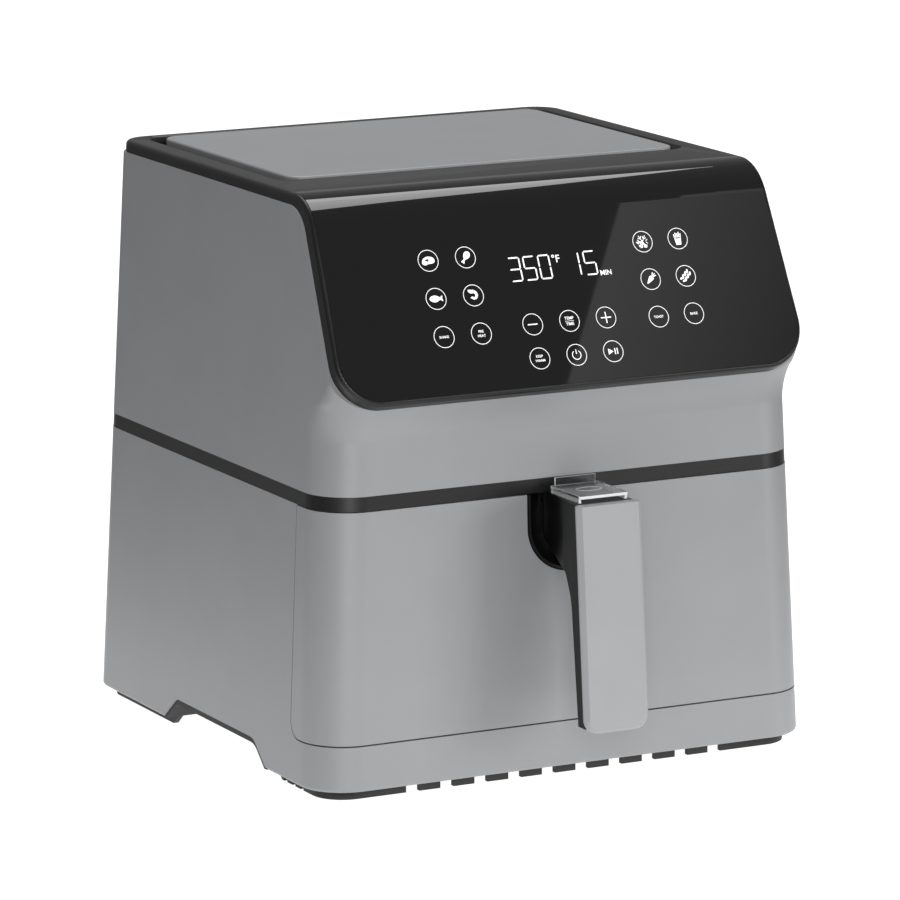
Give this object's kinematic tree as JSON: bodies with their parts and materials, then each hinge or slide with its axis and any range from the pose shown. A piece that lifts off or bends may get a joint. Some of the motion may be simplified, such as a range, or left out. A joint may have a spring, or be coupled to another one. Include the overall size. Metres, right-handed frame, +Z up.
{
  "type": "air fryer",
  "caption": "Drawer air fryer with a tapered two-part shell, leaning touch panel, pull-out basket drawer, guarded release button, heater and fan.",
  "frame": {"origin": "on the table, under the middle of the overall box, handle included", "axes": "+Z up, +Y towards the back, +X to the right for someone facing the panel; the drawer opens towards -Y"},
  "size_m": [0.2998, 0.3507, 0.3207],
  "materials": {
    "grey_abs": "satin",
    "plate_abs": "satin",
    "black_abs": "satin",
    "tray_abs": "matte",
    "gloss_panel": "gloss",
    "clear_plastic": "clear gloss",
    "button_plastic": "satin",
    "rubber": "matte",
    "silicone": "matte",
    "coated_steel": "non-stick",
    "plated_steel": "plated",
    "element_steel": "heat darkened",
    "fan_aluminium": "rolled",
    "turned_steel": "turned",
    "motor_steel": "zinc",
    "board": "solder mask",
    "component_plastic": "moulded",
    "terminal_nylon": "moulded",
    "sensor": "plain",
    "latch_acetal": "moulded"
  },
  "bodies": {
    "housing": {"base_screws": "turned_steel", "board_spacers": "component_plastic", "buzzer": "component_plastic", "cavity_liner": "plated_steel", "control_glass": "gloss_panel", "cord_gland": "rubber", "display_module": "component_plastic", "door_switch": "component_plastic", "drawer_rails": "plated_steel", "element_clips": "plated_steel", "exhaust_duct": "plated_steel", "fan_motor": "motor_steel", "front_frame": "black_abs", "heat_shield": "plated_steel", "heater_guard": "plated_steel", "heating_element": "element_steel", "lower_shell": "grey_abs", "middle_band": "black_abs", "motor_bracket": "plated_steel", "motor_screws": "turned_steel", "power_board": "board", "relay": "component_plastic", "rubber_feet": "rubber", "temperature_sensor": "sensor", "terminal_block": "terminal_nylon", "thermal_fuse": "sensor", "top_frame": "black_abs", "top_plate": "plate_abs", "touch_board": "board", "transformer": "component_plastic", "under_tray": "tray_abs", "upper_shell": "grey_abs", "vent_grille": "black_abs"},
    "drawer": {"drawer_front": "grey_abs", "recess_cup": "black_abs", "inner_panel": "black_abs", "drawer_screws": "turned_steel", "outer_pan": "coated_steel", "inner_basket": "coated_steel", "basket_bumpers": "silicone", "basket_bracket": "plated_steel", "handle_cover": "grey_abs", "handle_arm": "black_abs", "handle_screws": "turned_steel", "latch_pin": "turned_steel"},
    "guard": {"button_guard": "clear_plastic"},
    "button": {"release_button": "button_plastic", "button_spring": "turned_steel"},
    "latch": {"latch_lever": "latch_acetal"},
    "rotor": {"rotor_shaft": "turned_steel", "convection_fan": "fan_aluminium", "cooling_fan": "fan_aluminium", "hub_nut": "turned_steel"},
    "plunger": {"interlock_plunger": "component_plastic"}
  },
  "joints": [
    {"name": "drawer_slide", "type": "slide", "parent": "housing", "child": "drawer", "axis": [0, -1, 0], "range_m": [0, 0.31]},
    {"name": "guard_slide", "type": "slide", "parent": "drawer", "child": "guard", "axis": [0, -1, 0], "range_m": [0, 0.018]},
    {"name": "release_press", "type": "slide", "parent": "drawer", "child": "button", "axis": [0, 0, -1], "range_m": [0, 0.003], "stiffness_N_per_m": 400, "springref_m": -0.002, "deforming": ["button_spring"]},
    {"name": "latch_pivot", "type": "hinge", "parent": "drawer", "child": "latch", "pos_m": [0, -0.11805, 0.133], "axis": [1, 0, 0], "range_deg": [0, 14]},
    {"name": "fan_spin", "type": "hinge", "parent": "housing", "child": "rotor", "pos_m": [0, 0.021, 0.2], "axis": [0, 0, 1], "continuous": true},
    {"name": "interlock_slide", "type": "slide", "parent": "housing", "child": "plunger", "axis": [0, -1, 0], "range_m": [0, 0.0031]}
  ],
  "couplings": [
    {"joint": "latch_pivot", "follows": "release_press", "rad_per_m": 80},
    {"joint": "interlock_slide", "follows": "drawer_slide", "ratio": 0.01}
  ]
}
